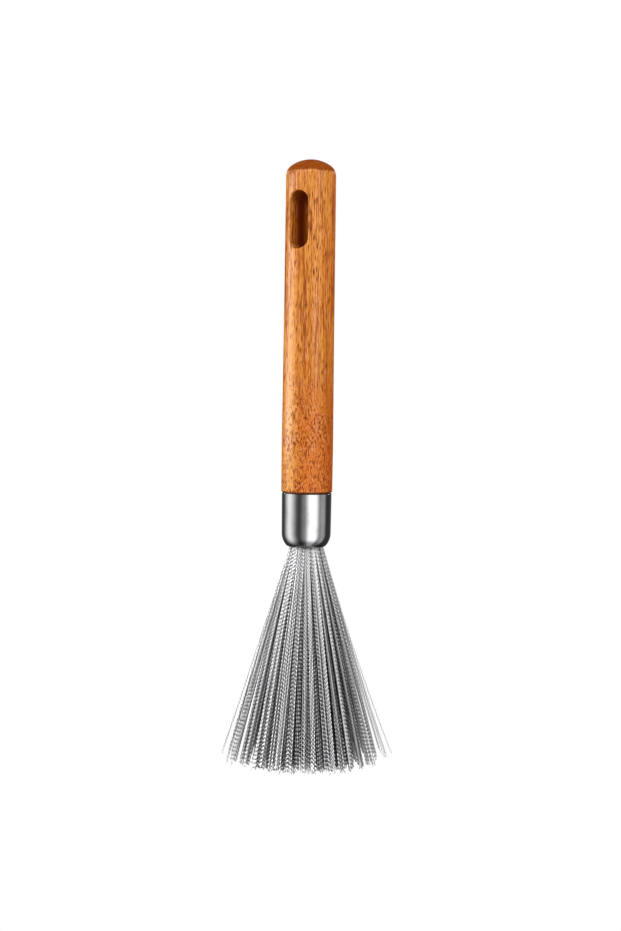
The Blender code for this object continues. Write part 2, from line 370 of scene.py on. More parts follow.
def ribbon_legs(share, azimuth, chance):
    """The legs of a ribbon's wires at one end, side by side.

    Each wire's crimp is a fixed part of a pitch behind its neighbour's, which gives bars, slants or, where
    the other half of the ribbon mirrors the first, a herringbone.
    """
    scatter = chance.normal(size=3)
    slant = int(chance.choice(RIBBON_SLANTS))
    start = int(chance.integers(len(CRIMP_WAVE)))
    mirrored = chance.random() < MIRRORED_RIBBONS
    tip_radius = share * WIRE_LENGTH * np.sin((LEAN_AT_MOUTH + LEAN_AT_TIP) / 2)
    # Painted shade: ribbons nearer the bundle's middle are darker.
    light = np.interp(share, RIBBON_LIGHT["share"], RIBBON_LIGHT["light"])
    light = light * chance.uniform(*RIBBON_LIGHT_SCATTER)
    shared = {
        "radius": share * THROAT_RADIUS,
        "azimuth": azimuth,
        "lean": share * LEAN_AT_MOUTH + LEAN_SCATTER * scatter[0],
        "bend": (share * (LEAN_AT_TIP - LEAN_AT_MOUTH) + BEND_SCATTER * scatter[1]) / WIRE_LENGTH,
        "drift": TIP_DRIFT * scatter[2] / (tip_radius + THROAT_RADIUS),
        "phase": chance.random(),
        "crimp_shading": 1.0,
        "plane": chance.uniform(*SLANTED_PLANES) * np.pi if slant else chance.uniform(0, np.pi),
    }
    length = WIRE_LENGTH - RIBBON_UNEVENNESS * chance.random()
    legs = []
    for number in range(WIRES_PER_RIBBON):
        place = number - (WIRES_PER_RIBBON - 1) / 2
        own = {
            "aside": place * WIRE_SPACING,
            "step": start + int(slant * (abs(place) if mirrored else place)),
            "length": length - TIP_UNEVENNESS * chance.random(),
            "tone": light * chance.choice(WIRE_TONES),
        }
        legs.append(shared | own)
    return legs


def stray_legs(azimuth, lean_at_tip, chance):
    """The legs of a single wire whose outer end stands away from the rest."""
    inner_leg, outer_leg = (ribbon_legs(share, azimuth, chance)[0] for share in STRAY_SHARES)
    outer_leg |= {
        "aside": 0.0,
        "drift": 0.0,
        "lean": STRAY_LEAN_AT_MOUTH,
        "bend": (lean_at_tip - STRAY_LEAN_AT_MOUTH) / WIRE_LENGTH,
        "length": WIRE_LENGTH,
        "tone": STRAY_TONE,
        "crimp_shading": STRAY_CRIMP_SHADING,
    }
    return inner_leg | {"aside": 0.0}, outer_leg


def strips_of_map(rows, wire, count):
    """Map coordinates of the corners of a wire's side faces, for baking its tones.

    Each of its legs fills a strip that is 1 / (2 count) wide, with its sides folded over each other.
    """
    half = (rows + 1) // 2
    row, side = np.divmod(np.arange((rows - 1) * WIRE_SIDES)[:, None], WIRE_SIDES)
    leg = row // half
    across = (side + [0, 0, 1, 1]) % 2
    along = row - leg * half + [0, 1, 1, 0]
    strips = 2 * wire + leg + STRIP_MARGIN + (1 - 2 * STRIP_MARGIN) * across
    return np.stack([strips / (2 * count), along / half], axis=-1)


def legs_of_tuft(middle, chance):
    """The folds and pairs of legs of one tuft's wires.

    Its ribbons are spread evenly over its slice of the mouth: their inner ends over the inner half of its
    area, their outer ends over the outer half, and those with the largest folds innermost and outermost.
    An end's radius is the root of its share of the area. Golden steps spread the ends across the slice.
    """
    slice_width = 2 * np.pi / TUFT_COUNT
    offset = chance.random(2)
    pairs = []
    for order in range(RIBBONS_PER_TUFT):
        rank = (order + 0.5) / RIBBONS_PER_TUFT
        fold = SMALLEST_FOLD + (LARGEST_FOLD - SMALLEST_FOLD) * rank
        ribbons = []
        for side, area_share in ((0, 0.5 * (1 - rank)), (1, 0.5 + 0.5 * rank)):
            spot = (order * GOLDEN_SHARE + offset[side]) % 1.0
            spot = SLICE_EDGE + (1 - 2 * SLICE_EDGE) * spot - 0.5
            ribbons.append(ribbon_legs(np.sqrt(area_share), middle + spot * slice_width, chance))
        pairs += [(fold, inner_leg, outer_leg) for inner_leg, outer_leg in zip(*ribbons)]
    spots = (np.arange(STRAYS_PER_TUFT) + chance.random(STRAYS_PER_TUFT)) / STRAYS_PER_TUFT - 0.5
    strays = [(middle + spot * slice_width, chance.uniform(*STRAY_LEAN_AT_TIP)) for spot in spots]
    strays += [stray for stray in zip(*SIDE_STRAYS.values()) if abs(stray[0] - middle) < slice_width / 2]
    return pairs + [(LARGEST_FOLD, *stray_legs(azimuth, lean, chance)) for azimuth, lean in strays]


def tuft_of_wires(name, pairs):
    """The wires of one tuft as one piece: a tube for each pair of legs, closed at its two cut ends."""
    points, walls, ends, tones, wall_spots, end_spots = [], [], [], [], [], []
    done = 0
    for number, (fold, inner_leg, outer_leg) in enumerate(pairs):
        wire, tone = folded_wire(fold, inner_leg, outer_leg)
        rows = len(wire)
        points.append(wire.reshape(-1, 3))
        walls.append(closed_grid(rows, WIRE_SIDES) + done)
        top_end = np.arange(WIRE_SIDES)
        ends.append(np.array([top_end, (rows - 1) * WIRE_SIDES + top_end[::-1]]) + done)
        tones.append(tone.ravel())
        wall_spots.append(strips_of_map(rows, number, len(pairs)))
        end_spots.append(wall_spots[-1][[0, -1]])
        done += rows * WIRE_SIDES
    piece = new_piece(name, np.concatenate(points), walls + ends, wire_steel)
    tone_values = piece.data.attributes.new("tone", "FLOAT", "POINT")
    tone_values.data.foreach_set("value", np.concatenate(tones).astype(np.float32))
    bake_map = piece.data.uv_layers.new(name="OFBake")
    bake_map.uv.foreach_set("vector", np.concatenate(wall_spots + end_spots).astype(np.float32).ravel())
    return piece


wire_steel = crimped_wire_finish()
chance = np.random.default_rng(SCATTER_SEED)
for number in range(TUFT_COUNT):
    node = f"tuft_{number + 1:02d}"
    pairs = legs_of_tuft(2 * np.pi * (number + 0.5) / TUFT_COUNT, chance)
    tuft = tuft_of_wires(f"wires_{number + 1:02d}", pairs)
    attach(tuft, "root")
    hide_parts(node)


# Ferrule
# A cup drawn from stainless sheet and polished on the lathe, with its foot turned in round the wires.
# Its upper half holds the handle's tenon, and its foot keeps the retaining ring and the wires in.

FERRULE_WALL = 0.8 * MM
FERRULE_TAPER = 0.13 * MM
SHOULDER_RADIUS = 7.4 * MM
MOUTH_RADIUS = 7.8 * MM
RIM_CHAMFER = 0.08 * MM
LIP_ROUND = 0.4 * MM
LIP_TURNS_EARLY = 2.0
FERRULE_COLUMNS = 192
FERRULE_WALL_ROWS = 24
FERRULE_WALL_MARGIN = 0.01
SHOULDER_STEPS = 20
INNER_SHOULDER_STEPS = 12
LIP_STEPS = 10
FERRULE_CREASE = np.radians(30)
FERRULE_COLOUR = (0.60, 0.60, 0.61, 1.0)
FERRULE_DULLED = (0.50, 0.50, 0.52, 1.0)
FERRULE_LIP_SHADE = (0.10, 0.10, 0.105, 1.0)
FERRULE_ROUGHNESS = 0.06
LIP_SHADE_HEIGHTS = (0.3 * MM, 1.8 * MM)
LIP_SHADE_SHARE = 0.4
SMUDGE = (5.0 * MM, 6.0 * MM)
SMUDGE_EDGES = (0.4, 0.75)
SMUDGE_ROUGHENS = 0.03
TURNING_MARK = (30.0 * MM, 0.12 * MM)
TURNING_MARK_DEPTH = 0.001 * MM

FERRULE_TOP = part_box("ferrule")[1].z
FERRULE_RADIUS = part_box("ferrule")[1].x
FERRULE_LOW_RADIUS = FERRULE_RADIUS - FERRULE_TAPER


def arc(centre_r, centre_z, radius, start, end, steps):
    """Points (radius, height) round an arc: its centre plus its radius, at angles from straight up."""
    angle = np.radians(np.linspace(start, end, steps + 1))
    return np.column_stack([centre_r + radius * np.sin(angle), centre_z + radius * np.cos(angle)])


def turned(profile, columns):
    """A profile of (radius, height) points carried round the Z axis: (r cos a, r sin a, z)."""
    angle = 2 * np.pi * np.arange(columns) / columns
    radius, height = profile[:, :1], profile[:, 1:]
    stack = [radius * np.cos(angle), radius * np.sin(angle), height + 0 * angle]
    return np.stack(stack, axis=-1).reshape(-1, 3)


def ferrule_section():
    """The ferrule's wall in section, a closed line: down the outside, round the lip and up the inside."""
    centre_r = FERRULE_LOW_RADIUS - SHOULDER_RADIUS
    shoulder_turn = np.arccos((MOUTH_RADIUS - centre_r) / SHOULDER_RADIUS)
    centre_z = MOUTH + SHOULDER_RADIUS * np.sin(shoulder_turn)
    end = 90 + np.degrees(shoulder_turn) - LIP_TURNS_EARLY
    mid_wall = SHOULDER_RADIUS - FERRULE_WALL / 2
    lip = arc(centre_r, centre_z, mid_wall, end, end, 0)[0]
    inner_top = FERRULE_RADIUS - FERRULE_WALL
    share = np.linspace(FERRULE_WALL_MARGIN, 1 - FERRULE_WALL_MARGIN, FERRULE_WALL_ROWS)
    wall_r = np.interp(share, [0, 1], [FERRULE_RADIUS, FERRULE_LOW_RADIUS])
    wall_z = np.interp(share, [0, 1], [FERRULE_TOP - RIM_CHAMFER, centre_z])
    return np.concatenate(
        [
            arc(FERRULE_RADIUS - RIM_CHAMFER, FERRULE_TOP - RIM_CHAMFER, RIM_CHAMFER, 0, 90, 1),
            np.column_stack([wall_r, wall_z]),
            arc(centre_r, centre_z, SHOULDER_RADIUS, 90, end, SHOULDER_STEPS),
            arc(*lip, LIP_ROUND, end, end + 180, LIP_STEPS)[1:-1],
            arc(centre_r, centre_z, SHOULDER_RADIUS - FERRULE_WALL, end, 90, INNER_SHOULDER_STEPS),
            arc(inner_top + RIM_CHAMFER, FERRULE_TOP - RIM_CHAMFER, RIM_CHAMFER, 270, 360, 1),
        ]
    )


def polished_steel_finish():
    """Polished stainless with faint turning marks, duller where it is handled.

    Its lip is painted darker, as painted shade.
    """
    material, nodes, shader = new_finish("polished_steel", Metallic=1.0)
    height = nodes.node("ShaderNodeSeparateXYZ", {}, {"Vector": nodes.place()}, "Z")
    # Painted shade: the steel's colour darkens towards the lip.
    lip = nodes.step(height - MOUTH, *LIP_SHADE_HEIGHTS, 1.0, 0.0)
    smudges = nodes.grain(*SMUDGE, detail=3.0)
    marks = nodes.grain(*TURNING_MARK)
    colour = nodes.blend(nodes.step(smudges, *SMUDGE_EDGES), FERRULE_COLOUR, FERRULE_DULLED)
    nodes.feed(
        shader,
        {
            "Base Color": nodes.blend(LIP_SHADE_SHARE * lip, colour, FERRULE_LIP_SHADE),
            "Roughness": FERRULE_ROUGHNESS + SMUDGE_ROUGHENS * smudges,
            "Normal": nodes.bump(marks, TURNING_MARK_DEPTH),
        },
    )
    return material


section = ferrule_section()
section = np.concatenate([section, section[:1]])
ferrule_points = turned(section[:-1], FERRULE_COLUMNS)
ferrule_faces = closed_grid(len(section), FERRULE_COLUMNS) % len(ferrule_points)
ferrule = new_piece("ferrule_cup", ferrule_points, [ferrule_faces], polished_steel_finish())
ferrule.data.set_sharp_from_angle(angle=FERRULE_CREASE)
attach(ferrule, "root")
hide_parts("ferrule")


# Adhesive plug
# A disc of set amber adhesive between the folded wires and the end of the handle's tenon.
# It is poured in before the handle goes home, and grips both.

ADHESIVE_LIGHT = (0.50, 0.40, 0.20, 1.0)
ADHESIVE_DARK = (0.30, 0.20, 0.08, 1.0)
ADHESIVE_ROUGHNESS = 0.35
CLOUD = 4.0 * MM
CLOUD_EDGES = (0.3, 0.7)
BUBBLE = 0.5 * MM
BUBBLE_EDGES = (0.6, 0.7)
BUBBLE_DEPTH = 0.05 * MM
BUBBLE_ROUGHENS = 0.2


def adhesive_finish():
    """Amber adhesive, cloudy, with small bubbles."""
    material, nodes, shader = new_finish("set_adhesive", Coat_Weight=0.3, Coat_Roughness=0.2)
    clouds = nodes.grain(CLOUD, CLOUD)
    bubbles = nodes.step(nodes.grain(BUBBLE, BUBBLE, shift=5.0), *BUBBLE_EDGES)
    nodes.feed(
        shader,
        {
            "Base Color": nodes.blend(nodes.step(clouds, *CLOUD_EDGES), ADHESIVE_LIGHT, ADHESIVE_DARK),
            "Roughness": ADHESIVE_ROUGHNESS + BUBBLE_ROUGHENS * bubbles,
            "Normal": nodes.bump(bubbles, -BUBBLE_DEPTH),
        },
    )
    return material


dress("adhesive_plug", adhesive_finish())


# Handle
# One piece of reddish brown hardwood, turned on a lathe and domed at its end, with a hanging slot milled
# through it. Its tenon is pushed into the ferrule's adhesive, and it has a satin clear lacquer.

HANDLE_TOP_RADIUS = 10.23 * MM
HANDLE_MIDDLE_RADIUS = 10.35 * MM
HANDLE_SWELL_RADIUS = 10.58 * MM
SWELL_ABOVE_JOINT = 18.0 * MM
HANDLE_END_RADIUS = 10.5 * MM
DOME_RADIUS = 14.0 * MM
DOME_EDGE_FILLET = 5.0 * MM
HANDLE_END_ROUND = 0.8 * MM
TENON_RADIUS = 9.02 * MM
TENON_CHAMFER = 1.0 * MM
TENON_POINTS = 3
JOINT_GAP = 0.3 * MM
SLOT_WIDTH = 8.6 * MM
SLOT_LENGTH = 23.4 * MM
SLOT_EDGE_ROUND = 0.6 * MM
HANDLE_COLUMNS = 144
HANDLE_ROWS = 100
DOME_STEPS = 10
DOME_EDGE_STEPS = 12
HANDLE_END_STEPS = 8
HANDLE_CREASE = np.radians(40)
SLOT_ZONE_COLUMNS = 18
SLOT_ZONE_MARGIN = 3.6 * MM
SLOT_PATCH_RINGS = 5
SLOT_ROUND_RINGS = 5
SLOT_TUNNEL_RINGS = 11

TENON_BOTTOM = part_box("handle")[0].z
HANDLE_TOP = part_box("handle")[1].z
JOINT = FERRULE_TOP + JOINT_GAP

WOOD_BODY = (0.66, 0.190, 0.010, 1.0)
WOOD_GOLD = (0.73, 0.265, 0.026, 1.0)
WOOD_PINK = (0.82, 0.360, 0.110, 1.0)
WOOD_STREAK = (0.36, 0.066, 0.005, 1.0)
WOOD_RED = (0.65, 0.140, 0.005, 1.0)
WOOD_PORE = (0.14, 0.024, 0.003, 1.0)
WOOD_END_GRAIN = (0.23, 0.030, 0.001, 1.0)
WOOD_SHADED_SIDE = (0.46, 0.080, 0.002, 1.0)
WOOD_LIT_SIDE = (0.86, 0.400, 0.060, 1.0)
WOOD_JOINT_SHADE = (0.05, 0.014, 0.004, 1.0)
WOOD_SLOT_SHADE = (0.17, 0.026, 0.003, 1.0)
WOOD_GRAINS = {
    "broad": {"width": 3.4 * MM, "length": 60 * MM, "warp": 0.3},
    "ribbon": {"width": 1.7 * MM, "length": 20 * MM, "shift": 4.0, "warp": 0.4},
    "cluster": {"width": 5.0 * MM, "length": 45 * MM, "detail": 1.0, "shift": 6.0},
    "line": {"width": 0.62 * MM, "length": 22 * MM, "detail": 3.0, "shift": 9.0, "warp": 0.3},
    "dash": {"width": 0.45 * MM, "length": 3.4 * MM, "detail": 1.5, "shift": 14.0},
    "dot": {"width": 0.54 * MM, "length": 1.4 * MM, "shift": 27.0},
    "mottle": {"width": 4.5 * MM, "length": 11 * MM, "shift": 31.0, "warp": 0.5},
}
GOLD_EDGES = (0.38, 0.62)
RIBBON_EDGES = (0.50, 0.72)
STREAK_EDGES = (0.66, 0.80)
BUSY_EDGES = (0.40, 0.60)
MOTTLE_EDGES = (0.48, 0.66)
LIGHT_FLECK_EDGES = (0.5, 0.66)
DARK_FLECK_EDGES = (0.5, 0.37)
PORE_EDGES = (0.37, 0.30)
SHORT_PORES_WIDEN = 0.04
PORE_DEPTH = 0.02 * MM

# Across the handle, the side towards +X and +Y is painted darker and redder, as painted shade, and the other
# side paler and more golden, as painted light.
SHADED_SIDE_X = 0.8
SHADED_SIDE_Y = 0.6
SHADED_SIDE_REACH = (3 * MM, 9.5 * MM)
RED_FOOT_OFF_LIT_SIDE = (-7 * MM, -3 * MM)
LIT_SIDE_REACH = (-4 * MM, -9.5 * MM)
FOOT_REDDENS = (-62 * MM, -100 * MM)
FLECKS_SHORTEN = (-48 * MM, -72 * MM)
FLECKS_SHORTEN_UNEVENLY = 40 * MM
END_GRAIN_DEPTH = 5.3 * MM
END_GRAIN_EDGE = (1.1 * END_GRAIN_DEPTH, 0.92 * END_GRAIN_DEPTH)
END_GRAIN_UNEVENNESS = 1.2 * MM
END_GRAIN_SHARE = 0.78
JOINT_DARKENS = (1.0 * MM, 0.3 * MM)
JOINT_SHADE_SHARE = 0.85
SLOT_SHADE_DEPTHS = (2.2 * MM, 8.4 * MM)
SLOT_LACQUER_ENDS = (1.4 * MM, 0.3 * MM)
SLOT_TOP_SHADE = (-6.0 * MM, -0.5 * MM)
SLOT_TOP_SHADE_INSIDE = (0.3 * MM, 1.6 * MM)
SLOT_TOP_SHADE_SHARE = 0.85
WOOD_ROUGHNESS = 0.42
FLECK_ROUGHENS = 0.12
LACQUER_WEIGHT = 0.4
LACQUER_ROUGHNESS = 0.25
LACQUER_IOR = 1.45


def handle_profile():
    """The handle's outline below the tip of its dome.

    Two arcs, the body as three straight tapers, the arc of its lower edge, then the tenon's corners.
    """
    fillet_r = HANDLE_TOP_RADIUS - DOME_EDGE_FILLET
    reach = DOME_RADIUS - DOME_EDGE_FILLET
    dome_angle = np.degrees(np.arcsin(fillet_r / reach))
    dome_centre = HANDLE_TOP - DOME_RADIUS
    fillet_z = dome_centre + np.sqrt(reach**2 - fillet_r**2)
    lower_z = JOINT + HANDLE_END_ROUND
    heights = np.linspace(fillet_z, lower_z, HANDLE_ROWS)
    levels = [lower_z, JOINT + SWELL_ABOVE_JOINT, (fillet_z + JOINT) / 2, fillet_z]
    radii = [HANDLE_END_RADIUS, HANDLE_SWELL_RADIUS, HANDLE_MIDDLE_RADIUS, HANDLE_TOP_RADIUS]
    body = np.interp(heights, levels, radii)
    end_round_r = HANDLE_END_RADIUS - HANDLE_END_ROUND
    dome = arc(0.0, dome_centre, DOME_RADIUS, 0, dome_angle, DOME_STEPS)[1:-1]
    fillet = arc(fillet_r, fillet_z, DOME_EDGE_FILLET, dome_angle, 90, DOME_EDGE_STEPS)[:-1]
    lower_edge = arc(end_round_r, lower_z, HANDLE_END_ROUND, 90, 180, HANDLE_END_STEPS)[1:]
    tenon = [
        (TENON_RADIUS, JOINT),
        (TENON_RADIUS, TENON_BOTTOM + TENON_CHAMFER),
        (TENON_RADIUS - TENON_CHAMFER, TENON_BOTTOM),
    ]
    return np.concatenate([dome, fillet, np.column_stack([body, heights]), lower_edge, tenon])


def slot_loops(border, profile):
    """Rings of points from the edge of the slot's zone, over its rounded edge and through to the middle.

    Each ring is the zone's edge drawn in towards the slot's spine, along lines square to the slot's outline.
    A point at x, z of the front lies on the handle's side at y = -sqrt(r squared - x squared), plus what
    the rounded edge has dropped by.
    """
    end_radius = SLOT_WIDTH / 2
    spine = np.clip(border[:, 2], end_radius - SLOT_LENGTH, -end_radius)
    ray = np.column_stack([border[:, 0], border[:, 2] - spine])
    distance = np.linalg.norm(ray, axis=1)
    ray = ray / distance[:, None]
    lip = end_radius + SLOT_EDGE_ROUND
    shares = np.linspace(0, 1, SLOT_PATCH_RINGS + 1)[1:]
    turns = np.linspace(0, np.pi / 2, SLOT_ROUND_RINGS + 1)[1:]
    reaches = [distance + (lip - distance) * share for share in shares]
    reaches += [np.full(len(border), lip - SLOT_EDGE_ROUND * np.sin(turn)) for turn in turns]
    drops = [0.0] * len(shares) + [SLOT_EDGE_ROUND * (1 - np.cos(turn)) for turn in turns]
    rings = []
    for reach, drop in zip(reaches, drops):
        x = ray[:, 0] * reach
        z = spine + ray[:, 1] * reach
        radius = np.interp(z, profile[::-1, 1], profile[::-1, 0])
        rings.append(np.column_stack([x, drop - np.sqrt(radius**2 - x**2), z]))
    return rings


def build_handle():
    """The turned body with the slot's two zones left open, and a sleeve of rings that joins them.

    Between the front's rings and the same rings with y turned round, the sleeve goes straight through:
    each of its rings has the y of the last one in front times a share that goes evenly from 1 to -1.
    The attribute slot_depth is how far y is inside the edge of the slot, and 0 outside the slot.
    """
    profile = handle_profile()
    columns = HANDLE_COLUMNS
    points = turned(profile, columns)
    count = len(points)
    corner = np.arange(count).reshape(-1, columns)
    zone_top = np.abs(profile[:, 1] - SLOT_ZONE_MARGIN).argmin()
    zone_bottom = np.abs(profile[:, 1] + SLOT_LENGTH + SLOT_ZONE_MARGIN).argmin()
    front = columns * 3 // 4
    left, right = front - SLOT_ZONE_COLUMNS, front + SLOT_ZONE_COLUMNS
    across = np.arange(left, right + 1)
    down = np.arange(zone_top + 1, zone_bottom)
    edge_rows = np.concatenate([0 * across + zone_top, down, 0 * across + zone_bottom, down[::-1]])
    edge_columns = np.concatenate([across, 0 * down + right, across[::-1], 0 * down + left])
    front_edge = corner[edge_rows, edge_columns]
    back_edge = corner[edge_rows, -edge_columns % columns]

    faces = closed_grid(len(profile), columns).reshape(-1, columns, 4)
    kept = np.ones(faces.shape[:2], bool)
    kept[zone_top:zone_bottom, left:right] = False
    mirrored = (columns - 1 - np.arange(left, right)) % columns
    kept[zone_top:zone_bottom, mirrored] = False
    faces = faces[kept]

    rings = slot_loops(points[front_edge], profile[:-TENON_POINTS])
    lip_y = rings[-1][:, 1]
    tunnel = []
    for share in np.linspace(1, -1, SLOT_TUNNEL_RINGS + 2)[1:-1]:
        ring = rings[-1].copy()
        ring[:, 1] = lip_y * share
        tunnel.append(ring)
    back = [ring * (1, -1, 1) for ring in reversed(rings)]
    sleeve = np.concatenate(rings + tunnel + back)
    ids = np.concatenate([front_edge, count + np.arange(len(sleeve)), back_edge]).reshape(-1, len(front_edge))
    sleeve_faces = ids.ravel()[closed_grid(*ids.shape)]

    poles = np.array([[0.0, 0.0, HANDLE_TOP], [0.0, 0.0, TENON_BOTTOM]])
    top_pole = count + len(sleeve)
    first, last = corner[0], corner[-1]
    cap = np.column_stack([np.full(columns, top_pole), first, np.roll(first, -1)])
    foot = np.column_stack([np.full(columns, top_pole + 1), np.roll(last, -1), last])
    every_point = np.concatenate([points, sleeve, poles])
    handle = new_piece("handle_body", every_point, [faces, sleeve_faces, cap, foot], lacquered_wood_finish())
    handle.data.set_sharp_from_angle(angle=HANDLE_CREASE)
    opening = np.abs(rings[SLOT_PATCH_RINGS - 1][:, 1])
    inside = opening - np.abs(sleeve.reshape(-1, len(front_edge), 3)[:, :, 1])
    inside[:SLOT_PATCH_RINGS] = inside[-SLOT_PATCH_RINGS:] = 0.0
    depth = np.concatenate([np.zeros(count), inside.ravel(), np.zeros(2)])
    slot_depth = handle.data.attributes.new("slot_depth", "FLOAT", "POINT")
    slot_depth.data.foreach_set("value", depth.astype(np.float32))
    return handle


def lacquered_wood_finish():
    """Reddish hardwood under satin lacquer.

    Its upper part has long dark streaks and pinkish ribbons, and its foot is redder, with many short open
    pores. Its domed end is darker.
    Painted shade darkens the slot inwards and at its top, the wood by the joint and the side towards +X and
    +Y, and painted light makes the other side paler.
    """
    constants = {"Specular_IOR_Level": 0.0, "Coat_Roughness": LACQUER_ROUGHNESS, "Coat_IOR": LACQUER_IOR}
    material, nodes, shader = new_finish("lacquered_wood", **constants)
    place = nodes.place()
    x, y, height = (nodes.node("ShaderNodeSeparateXYZ", {}, {"Vector": place}, axis) for axis in "XYZ")
    low = nodes.step(height, *FOOT_REDDENS)
    towards_shaded_side = x * SHADED_SIDE_X + y * SHADED_SIDE_Y
    broad, ribbon, cluster, line, dash, dot, mottle = (nodes.grain(**grain) for grain in WOOD_GRAINS.values())
    short = nodes.step(height + FLECKS_SHORTEN_UNEVENLY * cluster, *FLECKS_SHORTEN)
    fleck = dash * (1 - short) + dot * short
    colour = nodes.blend(nodes.step(broad, *GOLD_EDGES), WOOD_BODY, WOOD_GOLD)
    colour = nodes.blend(0.7 * nodes.step(ribbon, *RIBBON_EDGES), colour, WOOD_PINK)
    # Painted light and shade: the foot's real red is kept off the lit side, the side towards +X and +Y is
    # painted darker, and the other side paler.
    colour = nodes.blend(0.8 * low * nodes.step(towards_shaded_side, *RED_FOOT_OFF_LIT_SIDE), colour, WOOD_RED)
    colour = nodes.blend(0.5 * nodes.step(towards_shaded_side, *LIT_SIDE_REACH), colour, WOOD_LIT_SIDE)
    shaded_side = nodes.step(towards_shaded_side, *SHADED_SIDE_REACH)
    colour = nodes.blend((0.3 + 0.5 * low) * shaded_side, colour, WOOD_SHADED_SIDE)
    busy = 0.7 + 0.6 * nodes.step(mottle, *BUSY_EDGES)
    colour = nodes.blend((0.12 + 0.38 * low) * nodes.step(mottle, *MOTTLE_EDGES), colour, WOOD_STREAK)
    streak = nodes.step(line + 0.35 * cluster, *STREAK_EDGES)
    colour = nodes.blend((1 - 0.7 * short) * streak, colour, WOOD_STREAK)
    light_fleck = (0.5 + 0.1 * short) * (1 - 0.7 * shaded_side) * busy * nodes.step(fleck, *LIGHT_FLECK_EDGES)
    colour = nodes.blend(light_fleck, colour, WOOD_PINK)
    dark_fleck = (0.6 + 0.3 * short) * busy * nodes.step(fleck, *DARK_FLECK_EDGES)
    colour = nodes.blend(dark_fleck, colour, WOOD_STREAK)
    open_pore = nodes.step(fleck, *(edge + SHORT_PORES_WIDEN * short for edge in PORE_EDGES))
    colour = nodes.blend(0.95 * busy * open_pore, colour, WOOD_PORE)
    below_top = HANDLE_TOP - height - END_GRAIN_UNEVENNESS * (ribbon - 0.5)
    end_grain = nodes.step(below_top, *END_GRAIN_EDGE)
    colour = nodes.blend(END_GRAIN_SHARE * end_grain, colour, WOOD_END_GRAIN)
    # Painted shade by the joint with the ferrule.
    joint_shade = nodes.step(height - JOINT, *JOINT_DARKENS)
    colour = nodes.blend(JOINT_SHADE_SHARE * joint_shade, colour, WOOD_JOINT_SHADE)
    slot_depth = nodes.node("ShaderNodeAttribute", {"attribute_name": "slot_depth"}, output="Fac")
    # Painted shade in the slot: darker inwards and under its top.
    top_shade = SLOT_TOP_SHADE_SHARE * nodes.step(height, *SLOT_TOP_SHADE) * nodes.step(slot_depth, *SLOT_TOP_SHADE_INSIDE)
    slot_shade = top_shade + (1 - top_shade) * nodes.step(slot_depth, *SLOT_SHADE_DEPTHS)
    lacquer = nodes.step(slot_depth, *SLOT_LACQUER_ENDS) * (1 - 0.97 * end_grain)
    colour = nodes.blend(slot_shade, colour, WOOD_SLOT_SHADE)
    nodes.feed(
        shader,
        {
            "Base Color": colour,
            "Roughness": WOOD_ROUGHNESS + FLECK_ROUGHENS * dash,
            "Coat Weight": LACQUER_WEIGHT * lacquer * (1 - 0.7 * open_pore),
            "Normal": nodes.bump(0.5 * fleck - open_pore, PORE_DEPTH),
        },
    )
    return material


handle = build_handle()
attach(handle, "root")
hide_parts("handle")


# Studio
# The brush hangs in a white room with a pale floor far below, lit evenly from all round.
# A tent of feathered soft boxes that only reflections see gives the steel its light and dark bands.

CAMERA_TURN = 31.0
CAMERA_TILT = 2.7
CAMERA_ROLL = 0.81
CAMERA_DISTANCE = 609 * MM
CAMERA_LENS = 57.2
CAMERA_NEAR = 0.01
PICTURE_MIDDLE = -111.4 * MM
PICTURE_SHIFT = 1.4 * MM
FLOOR_LEVEL = -0.8
FLOOR_SIZE = 6.0
WHITE = (1.0, 1.0, 1.0, 1.0)
FLOOR_COLOUR = (0.8, 0.8, 0.8, 1.0)
ROOM_LIGHT_BY_HEIGHT = (-0.2, 0.9, 1.5, 0.8)
ROOM_LIGHT_BY_SIDE = (0.2, 1.0, 1.05, 0.82)
TENT_LEVEL = -0.13
TENT_RADIUS = 0.6
TENT_ROWS = 32
TENT_COLUMNS = 64
TENT_DARK = 0.05
FOOT_DIMMING = (-62, -30, 0.30)

# Angles are in degrees, round from the camera's side to its right and up from the tent's middle. A box
# goes from dark to full light between its first two angles, and back to dark between its last two.
SOFT_BOXES = {
    "left": {"turn": (-130, -78, -92, -38), "rise": (-85, -14, 40, 60), "radiance": 1.42},
    "left_upper": {"turn": (-130, -98, -90, -55), "rise": (-0.5, 1.5, 18, 30), "radiance": 11.0},
    "left_joint": {"turn": (-130, -98, -90, -55), "rise": (-0.5, 1, 3, 7), "radiance": 12.0},
    "front_left": {"turn": (-80, -52, -40, -20), "rise": (-170, -160, 5, 11), "radiance": 0.04},
    "front": {"turn": (-34, -6, 10, 30), "rise": (-170, -160, 5, 11), "radiance": 0.30},
    "right": {"turn": (-10, 24, 40, 72), "rise": (-170, -160, -1, 3), "radiance": 1.72},
    "right_upper": {"turn": (4, 28, 44, 68), "rise": (-1, 3, 14, 26), "radiance": 4.0},
    "right_edge": {"turn": (57, 76, 86, 108), "rise": (-170, -160, -1, 3), "radiance": 0.46},
    "back": {"turn": (125, 175, 185, 235), "rise": (-26, -9, -1, 3), "radiance": 0.13},
    "high_left": {"turn": (-105, -60, -25, 10), "rise": (20, 34, 75, 88), "radiance": 7.2},
    "high_right": {"turn": (-40, 0, 60, 105), "rise": (20, 34, 75, 88), "radiance": 6.0},
    "high_back": {"turn": (110, 145, 215, 250), "rise": (20, 34, 75, 88), "radiance": 5.0},
}


